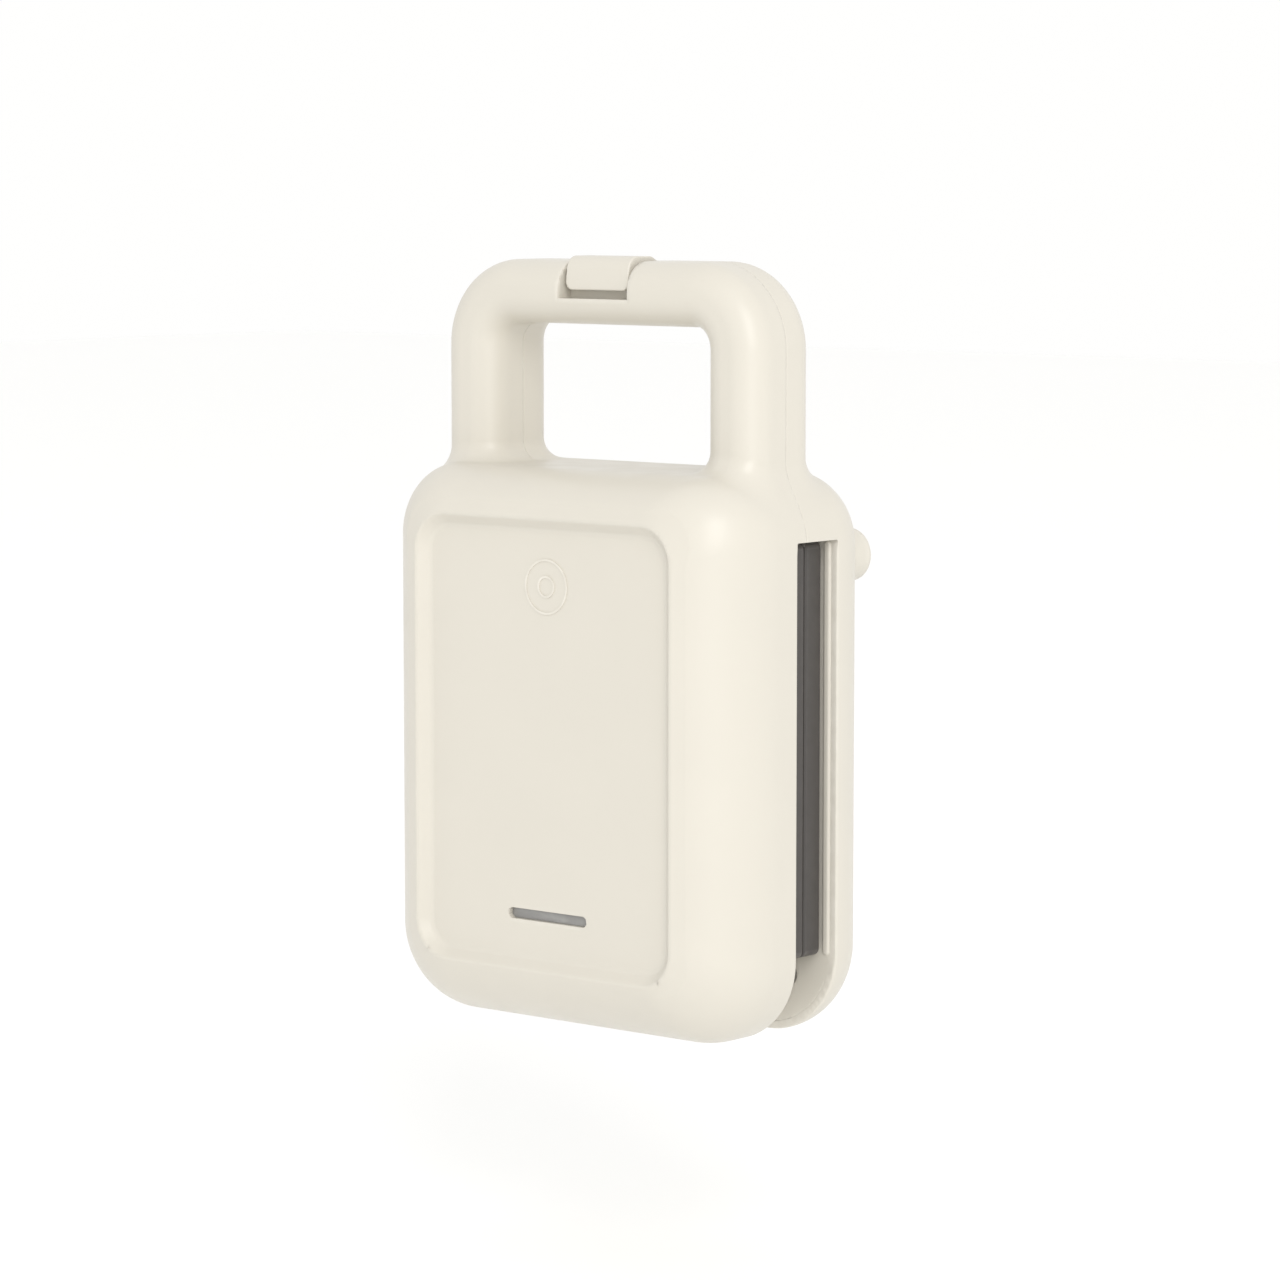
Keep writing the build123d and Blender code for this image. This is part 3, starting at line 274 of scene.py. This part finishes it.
def frame_surface(side):
    """An inner frame: a plate with an opening, a lip beside each flank, hinge ears, screw seats."""
    def surface(x, d, z):
        off = side * (d - PLATE_SPLIT)
        half, low, high = PLATE_W / 2 - FRAME_OPENING, PLATE_LOW + FRAME_OPENING, PLATE_TOP - FRAME_OPENING
        opening = round_rect(x, z, -half, half, low, high, PLATE_CORNER_R)
        sheet = cross(mouth(x, z, FRAME_GAP), between(off, FRAME_FACE, FRAME_BACK), 0.1)
        edge = BODY_W / 2 - WALL - FRAME_GAP
        lip = round_rect(np.abs(x), z, edge - LIP_W, edge, PLATE_LOW, PLATE_TOP, LIP_CORNER_R)
        lip = cross(lip, between(off, FRAME_FACE - LIP_H, FRAME_BACK), LIP_EDGE_R)
        solid = cut(union(sheet, lip, 0.4), opening, 0.3)
        eye = np.hypot(off, z - HINGE_Z) - KNUCKLE_R
        web = between(z, HINGE_Z - KNUCKLE_R, HINGE_Z + KNUCKLE_R)
        web = np.maximum(web, between(off, 0, FRAME_FACE + 1))
        ear = np.minimum(eye, web)
        # Two ears on the base's frame stand either side of one knuckle on the lid's.
        knuckle_in = EAR_IN + EAR_W + EAR_GAP
        outer_ear = knuckle_in + KNUCKLE_W + EAR_GAP
        ears = ((EAR_IN, EAR_IN + EAR_W), (outer_ear, outer_ear + EAR_W))
        knuckle = ((knuckle_in, knuckle_in + KNUCKLE_W),)
        for start, end in ears if side > 0 else knuckle:
            solid = union(solid, cross(ear, between(np.abs(x), start, end), EAR_EDGE_R), 0.5)
        solid = cut(solid, np.maximum(np.hypot(off, z - HINGE_Z) - PIN_R - PIN_PLAY, off - 4))
        from_screw = np.hypot(np.abs(x) - FRAME_SCREWS[0], z - FRAME_SCREWS[1])
        cone = (from_screw - SCREW_HEAD_R + off - FRAME_FACE) * math.sqrt(0.5)
        return cut(solid, np.minimum(cone, from_screw - PIN_R - SCREW_PLAY))
    return surface


# --- Surface of a distance function as a mesh ----------------------------------------------

HALVINGS = 14
# How strongly a cell's point is held to the middle of its crossings, and the limits of its last move.
HOLD, SMOOTH_SPREAD, FARTHEST_MOVE, LEAST_RATE = 0.02, 0.985, 0.2, 0.2
SHARP_COSINE = math.cos(math.radians(4))


def slope_of(f, p, step=0.02):
    """The direction in which f rises at each point of p, and how fast it rises."""
    out = np.empty_like(p)
    for a in range(3):
        shift = np.zeros(3)
        shift[a] = step
        hi, lo = p + shift, p - shift
        out[:, a] = f(hi[:, 0], hi[:, 1], hi[:, 2]) - f(lo[:, 0], lo[:, 1], lo[:, 2])
    length = np.linalg.norm(out, axis=1, keepdims=True)
    return out / np.maximum(length, 1e-12), length[:, 0] / (2 * step)


def axis_steps(*bands):
    """Grid coordinates: (start, end, step) bands, one after the other."""
    out = []
    for start, end, step in bands:
        count = max(1, round((end - start) / step))
        out.extend(start + (end - start) * i / count for i in range(count))
    out.append(bands[-1][1])
    return np.array(out)


def surface_mesh(name, f, grid):
    """Dual contouring: one point per cell that the surface crosses, placed on its edges and corners."""
    xs, ds, zs = grid
    shape = (len(xs), len(ds), len(zs))
    values = np.empty(shape, dtype=np.float32)
    dd, zz = np.meshgrid(ds, zs, indexing="ij")
    for i, x in enumerate(xs):
        values[i] = f(np.full_like(dd, x), dd, zz)
    inside = values < 0
    cells = tuple(n - 1 for n in shape)
    owners, points, normals, quads = [], [], [], []
    for axis in range(3):
        lower = [slice(None)] * 3
        upper = [slice(None)] * 3
        lower[axis], upper[axis] = slice(0, -1), slice(1, None)
        flips = np.argwhere(inside[tuple(lower)] != inside[tuple(upper)])
        ends = flips.copy()
        ends[:, axis] += 1
        a = np.stack([xs[flips[:, 0]], ds[flips[:, 1]], zs[flips[:, 2]]], axis=1)
        b = np.stack([xs[ends[:, 0]], ds[ends[:, 1]], zs[ends[:, 2]]], axis=1)
        starts_in = inside[tuple(flips.T)]
        for _ in range(HALVINGS):
            mid = (a + b) / 2
            same = (f(mid[:, 0], mid[:, 1], mid[:, 2]) < 0) == starts_in
            a = np.where(same[:, None], mid, a)
            b = np.where(same[:, None], b, mid)
        hit = (a + b) / 2
        normal, _ = slope_of(f, hit)
        one, two = [k for k in range(3) if k != axis]
        around = []
        for off_one, off_two in ((1, 1), (0, 1), (0, 0), (1, 0)):
            cell = flips.copy()
            cell[:, one] -= off_one
            cell[:, two] -= off_two
            around.append(np.ravel_multi_index(tuple(cell.T), cells, mode="clip"))
        around = np.stack(around, axis=1)
        turn = starts_in if axis != 1 else ~starts_in
        quads.append(np.where(turn[:, None], around, around[:, ::-1]))
        for k in range(4):
            owners.append(around[:, k])
            points.append(hit)
            normals.append(normal)
    owners, points, normals = np.concatenate(owners), np.concatenate(points), np.concatenate(normals)
    used, index = np.unique(owners, return_inverse=True)
    count = np.bincount(index, minlength=len(used)).astype(float)
    mass = np.stack([np.bincount(index, points[:, k], len(used)) for k in range(3)], axis=1)
    mass /= count[:, None]
    gap = np.einsum("ij,ij->i", normals, points - mass[index])
    ata = np.zeros((len(used), 3, 3))
    atb = np.zeros((len(used), 3))
    for r in range(3):
        atb[:, r] = np.bincount(index, normals[:, r] * gap, len(used))
        for c in range(3):
            ata[:, r, c] = np.bincount(index, normals[:, r] * normals[:, c], len(used))
    ata += np.eye(3) * HOLD
    verts = mass + np.linalg.solve(ata, atb[:, :, None])[:, :, 0]
    cell = np.stack(np.unravel_index(used, cells), axis=1)
    low = np.stack([xs[cell[:, 0]], ds[cell[:, 1]], zs[cell[:, 2]]], axis=1)
    high = np.stack([xs[cell[:, 0] + 1], ds[cell[:, 1] + 1], zs[cell[:, 2] + 1]], axis=1)
    verts = np.clip(verts, low, high)
    faces = np.searchsorted(used, np.concatenate(quads))
    # Points on smooth stretches are moved on to the surface itself.
    spread = np.stack([np.bincount(index, normals[:, k], len(used)) for k in range(3)], axis=1)
    spread /= count[:, None]
    smooth = np.linalg.norm(spread, axis=1) > SMOOTH_SPREAD
    for _ in range(2):
        direction, rate = slope_of(f, verts[smooth])
        off = f(*verts[smooth].T) / np.maximum(rate, LEAST_RATE)
        verts[smooth] -= direction * np.clip(off, -FARTHEST_MOVE, FARTHEST_MOVE)[:, None]
    return build_mesh(name, f, verts, faces)


def build_mesh(name, f, verts, faces):
    """The mesh object, with each corner's normal from the surface, split where the surface is sharp."""
    at_vertex, _ = slope_of(f, verts)
    centre = verts[faces].mean(axis=1)
    corner = verts[faces]
    probe = corner + (centre[:, None, :] - corner) * 0.25
    at_corner, _ = slope_of(f, probe.reshape(-1, 3))
    own = at_vertex[faces.reshape(-1)]
    alike = np.einsum("ij,ij->i", own, at_corner) > SHARP_COSINE
    shading = np.where(alike[:, None], own, at_corner)
    mesh = bpy.data.meshes.new(name)
    metres = np.stack([verts[:, 0], verts[:, 1] - FOOT_TIP / 2, verts[:, 2]], axis=1) / 1000
    mesh.vertices.add(len(verts))
    mesh.vertices.foreach_set("co", metres.astype(np.float32).ravel())
    mesh.loops.add(len(faces) * 4)
    mesh.loops.foreach_set("vertex_index", faces.astype(np.int32).ravel())
    mesh.polygons.add(len(faces))
    mesh.polygons.foreach_set("loop_start", np.arange(0, len(faces) * 4, 4, dtype=np.int32))
    mesh.polygons.foreach_set("use_smooth", np.ones(len(faces), dtype=bool))
    mesh.update(calc_edges=True)
    mesh.validate()
    if len(mesh.loops) == len(shading):
        mesh.normals_split_custom_set(shading.tolist())
    obj = bpy.data.objects.new(name, mesh)
    bpy.context.scene.collection.objects.link(obj)
    return obj


# --- Materials -------------------------------------------------------------------------------

EDGE_WEAR, WEAR_PATCHES, GLOSS_PATCHES = (0.53, 0.62), 220.0, 90.0


def material(name, colour, rough, **kw):
    """A procedural finish: mottled colour and gloss, fine bump, edges worn paler or darker."""
    mat = bpy.data.materials.new(name)
    mat.use_nodes = True
    nodes, links = mat.node_tree.nodes, mat.node_tree.links
    shader = nodes["Principled BSDF"]
    shader.inputs["Metallic"].default_value = kw.get("metal", 0.0)
    shader.inputs["IOR"].default_value = 1.5
    shader.inputs["Coat Weight"].default_value = kw.get("coat", 0.0)
    shader.inputs["Coat Roughness"].default_value = 0.1
    shader.inputs["Transmission Weight"].default_value = kw.get("transmission", 0.0)
    place = nodes.new("ShaderNodeTexCoord")

    def noise(scale, detail=3.0, stretch=None):
        tex = nodes.new("ShaderNodeTexNoise")
        tex.inputs["Scale"].default_value = scale
        tex.inputs["Detail"].default_value = detail
        if stretch:
            mapping = nodes.new("ShaderNodeMapping")
            mapping.inputs["Scale"].default_value = stretch
            links.new(place.outputs["Object"], mapping.inputs["Vector"])
            links.new(mapping.outputs["Vector"], tex.inputs["Vector"])
        else:
            links.new(place.outputs["Object"], tex.inputs["Vector"])
        return tex.outputs["Fac"]

    def ramp(source, low, high, at_low=0.0, at_high=1.0):
        node = nodes.new("ShaderNodeMapRange")
        node.inputs["From Min"].default_value = low
        node.inputs["From Max"].default_value = high
        node.inputs["To Min"].default_value = at_low
        node.inputs["To Max"].default_value = at_high
        links.new(source, node.inputs["Value"])
        return node.outputs["Result"]

    def mix(fac, a, b):
        node = nodes.new("ShaderNodeMix")
        node.data_type = "RGBA"
        links.new(fac, node.inputs["Factor"])
        for socket, value in ((node.inputs[6], a), (node.inputs[7], b)):
            if isinstance(value, tuple):
                socket.default_value = (*value, 1)
            else:
                links.new(value, socket)
        return node.outputs[2]

    vary = kw.get("vary", 0.03)
    darker = tuple(c * (1 - vary) for c in colour)
    tint = mix(ramp(noise(kw.get("mottle", 45.0), stretch=kw.get("stretch")), 0.35, 0.65), colour, darker)
    # Wear shows on convex edges, in patches.
    point = nodes.new("ShaderNodeNewGeometry").outputs["Pointiness"]
    edge = nodes.new("ShaderNodeMath")
    edge.operation = "MULTIPLY"
    links.new(ramp(point, *EDGE_WEAR), edge.inputs[0])
    links.new(ramp(noise(WEAR_PATCHES), 0.35, 0.7, 0.2, 1.0), edge.inputs[1])
    tint = mix(edge.outputs[0], tint, kw["worn"])
    links.new(tint, shader.inputs["Base Color"])
    spread = kw.get("rough_vary", 0.05)
    gloss = ramp(noise(GLOSS_PATCHES, stretch=kw.get("stretch")), 0.3, 0.7,
                 rough - spread, rough + spread)
    links.new(gloss, shader.inputs["Roughness"])
    bump = nodes.new("ShaderNodeBump")
    bump.inputs["Strength"].default_value = kw.get("bump", 0.15)
    bump.inputs["Distance"].default_value = kw.get("bump_height", 0.00004)
    links.new(noise(kw.get("grain", 2600.0), 2.0, kw.get("stretch")), bump.inputs["Height"])
    links.new(bump.outputs["Normal"], shader.inputs["Normal"])
    return mat


CREAM = (0.635, 0.603, 0.533)
MATERIALS = {
    "cream_plastic": material("cream_plastic", CREAM, 0.36, vary=0.012, mottle=30, bump=0.10,
                              grain=2200, worn=(0.73, 0.70, 0.63)),
    "cream_frame": material("cream_frame", (0.65, 0.617, 0.545), 0.48, vary=0.02, bump=0.12,
                            worn=(0.71, 0.68, 0.61)),
    "silicone": material("silicone", (0.64, 0.61, 0.545), 0.62, vary=0.04, grain=1500, bump=0.2,
                         worn=(0.58, 0.55, 0.49)),
    "nonstick": material("nonstick", (0.056, 0.050, 0.046), 0.40, vary=0.08, mottle=260, grain=3200,
                         bump=0.30, bump_height=0.00006, rough_vary=0.07, worn=(0.16, 0.15, 0.145)),
    "element_steel": material("element_steel", (0.20, 0.185, 0.17), 0.42, metal=0.9, vary=0.3, mottle=120,
                              worn=(0.4, 0.38, 0.36)),
    "tray_steel": material("tray_steel", (0.62, 0.62, 0.61), 0.30, metal=1.0, vary=0.12, mottle=14,
                           stretch=(1, 1, 14), grain=700, worn=(0.8, 0.8, 0.79)),
    "screw_steel": material("screw_steel", (0.55, 0.55, 0.54), 0.30, metal=1.0, vary=0.15, mottle=300,
                            worn=(0.8, 0.8, 0.8)),
    "pin_steel": material("pin_steel", (0.62, 0.62, 0.63), 0.24, metal=1.0, vary=0.1, mottle=200,
                          stretch=(10, 1, 1), worn=(0.8, 0.8, 0.8)),
    "phenolic": material("phenolic", (0.045, 0.035, 0.03), 0.45, vary=0.2, worn=(0.1, 0.08, 0.07)),
    "fuse_body": material("fuse_body", (0.76, 0.72, 0.64), 0.22, vary=0.05, coat=0.5,
                          worn=(0.85, 0.82, 0.76)),
    "terminal_nylon": material("terminal_nylon", (0.74, 0.73, 0.69), 0.45, vary=0.05,
                               worn=(0.82, 0.82, 0.8)),
    "gland_rubber": material("gland_rubber", (0.74, 0.69, 0.60), 0.60, vary=0.05, grain=1400, bump=0.25,
                             worn=(0.66, 0.62, 0.54)),
    "lens": material("lens", (0.27, 0.265, 0.26), 0.32, vary=0.05, coat=0.3, worn=(0.42, 0.42, 0.41)),
    "board": material("board", (0.02, 0.12, 0.05), 0.35, vary=0.2, coat=0.4, worn=(0.2, 0.18, 0.08)),
    "lamp": material("lamp", (0.75, 0.2, 0.05), 0.15, vary=0.1, transmission=0.5, worn=(0.8, 0.3, 0.1)),
}


def paint(obj, slot):
    """Gives obj the finish of a record slot."""
    obj.data.materials.clear()
    obj.data.materials.append(MATERIALS[slot])


# --- The pieces --------------------------------------------------------------------------------

COARSE = 1.5
SIDE = axis_steps((-77, 77, COARSE))
HIGH = axis_steps((-1.4, 160, COARSE), (160, 164, 0.6), (164, 252, COARSE))
lid_grid = (SIDE, axis_steps((-1.2, 6.6, 0.6), (6.6, 36, COARSE), (36, 44, 0.6)), HIGH)
base_depths = axis_steps((41.4, 44.4, 0.6), (44.4, 57, COARSE), (57, 60, 0.6), (60, 88.5, COARSE))
base_grid = (SIDE, base_depths, HIGH)
clip_grid = (axis_steps((-14, 14, 0.6)), axis_steps((25, 58.2, 0.5)), axis_steps((239, 252.6, 0.5)))
ACROSS = axis_steps((-74, -66, 0.55), (-66, -47, 1.2), (-47, -25, 0.6), (-25, 25, 1.6), (25, 47, 0.6),
                    (47, 66, 1.2), (66, 74, 0.55))
UPWARD = axis_steps((1.6, 24, 0.7), (24, 32, 0.6), (32, 156, 1.6), (156, 163, 0.6))


def frame_grid(side):
    """The grid of an inner frame, from past its knuckles to past its back."""
    ends = sorted((PLATE_SPLIT - side * (KNUCKLE_R + 0.8), PLATE_SPLIT + side * (FRAME_BACK + 0.7)))
    return ACROSS, axis_steps((ends[0], ends[1], 0.55)), UPWARD


SMOOTH_PIECES = (
    ("front_shell", lid_surface, lid_grid, "lid_shell", "lid", "cream_plastic"),
    ("rear_shell", base_surface, base_grid, "base_shell", "base", "cream_plastic"),
    ("clip", clip_surface, clip_grid, "latch_clip", "latch", "cream_plastic"),
    ("front_frame", frame_surface(-1), frame_grid(-1), "lid_frame", "lid", "cream_frame"),
    ("rear_frame", frame_surface(1), frame_grid(1), "base_frame", "base", "cream_frame"),
)
for name, surface, grid, node, body, slot in SMOOTH_PIECES:
    piece = surface_mesh(name, surface, grid)
    paint(piece, slot)
    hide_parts(node)
    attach(piece, body)

replaced = {row[3] for row in SMOOTH_PIECES}
# The other nodes keep their CAD mesh.
for row in frame["record"]["subparts"]:
    if row["node"] not in replaced:
        materials = frame["nodes"][row["node"]].data.materials
        materials.clear()
        materials.append(MATERIALS[row["material_slot"]])

# --- Floor, light and camera ---------------------------------------------------------------------

# Metres. The floor lies below the lowest point that the open lid reaches.
FLOOR_Z, FLOOR_REACH = -0.078, 6.0
floor_mesh = bpy.data.meshes.new("floor")
floor_corners = [(sx * FLOOR_REACH, sy * FLOOR_REACH, 0) for sx, sy in ((-1, -1), (1, -1), (1, 1), (-1, 1))]
floor_mesh.from_pydata(floor_corners, [], [(0, 1, 2, 3)])
floor = bpy.data.objects.new("floor", floor_mesh)
floor.location.z = FLOOR_Z
bpy.context.scene.collection.objects.link(floor)
floor_mat = bpy.data.materials.new("floor")
floor_mat.use_nodes = True
floor_shader = floor_mat.node_tree.nodes["Principled BSDF"]
floor_shader.inputs["Base Color"].default_value = (0.985, 0.985, 0.98, 1)
floor_shader.inputs["Roughness"].default_value = 0.7
floor_mesh.materials.append(floor_mat)

world = bpy.data.worlds.new("studio")
world.use_nodes = True
world.node_tree.nodes["Background"].inputs["Color"].default_value = (1.0, 0.998, 0.99, 1)
world.node_tree.nodes["Background"].inputs["Strength"].default_value = 1.0
bpy.context.scene.world = world
bpy.context.scene.view_settings.view_transform = "Standard"


def area_light(name, spot, aim, size, power, colour):
    """A rectangular light at spot that faces aim."""
    data = bpy.data.lights.new(name, "AREA")
    data.shape = "RECTANGLE"
    data.size, data.size_y = size
    data.energy = power
    data.color = colour
    light = bpy.data.objects.new(name, data)
    light.location = spot
    light.rotation_euler = (Vector(aim) - Vector(spot)).to_track_quat("-Z", "Y").to_euler()
    bpy.context.scene.collection.objects.link(light)


area_light("key", (2.80, -2.34, 1.82), (0, 0, 0.12), (1.6, 3.0), 64.0, (1.0, 0.99, 0.975))

CAMERA_SPOT, CAMERA_LENS = (0.9571, -1.1344, 0.2808), 127.8
CAMERA_FORWARD, CAMERA_RIGHT = (-0.6393, 0.7619, -0.1040), (0.7660, 0.6428, 0.0)
forward = Vector(CAMERA_FORWARD).normalized()
right = Vector(CAMERA_RIGHT).normalized()
up = right.cross(forward).normalized()
cam_data = bpy.data.cameras.new("camera")
cam_data.sensor_width = 36.0
cam_data.lens = CAMERA_LENS
cam_data.clip_start, cam_data.clip_end = 0.05, 50.0
cam = bpy.data.objects.new("camera", cam_data)
turned = Matrix((right, up, -forward)).transposed().to_4x4()
cam.matrix_world = Matrix.Translation(Vector(CAMERA_SPOT)) @ turned
bpy.context.scene.collection.objects.link(cam)
bpy.context.scene.camera = cam
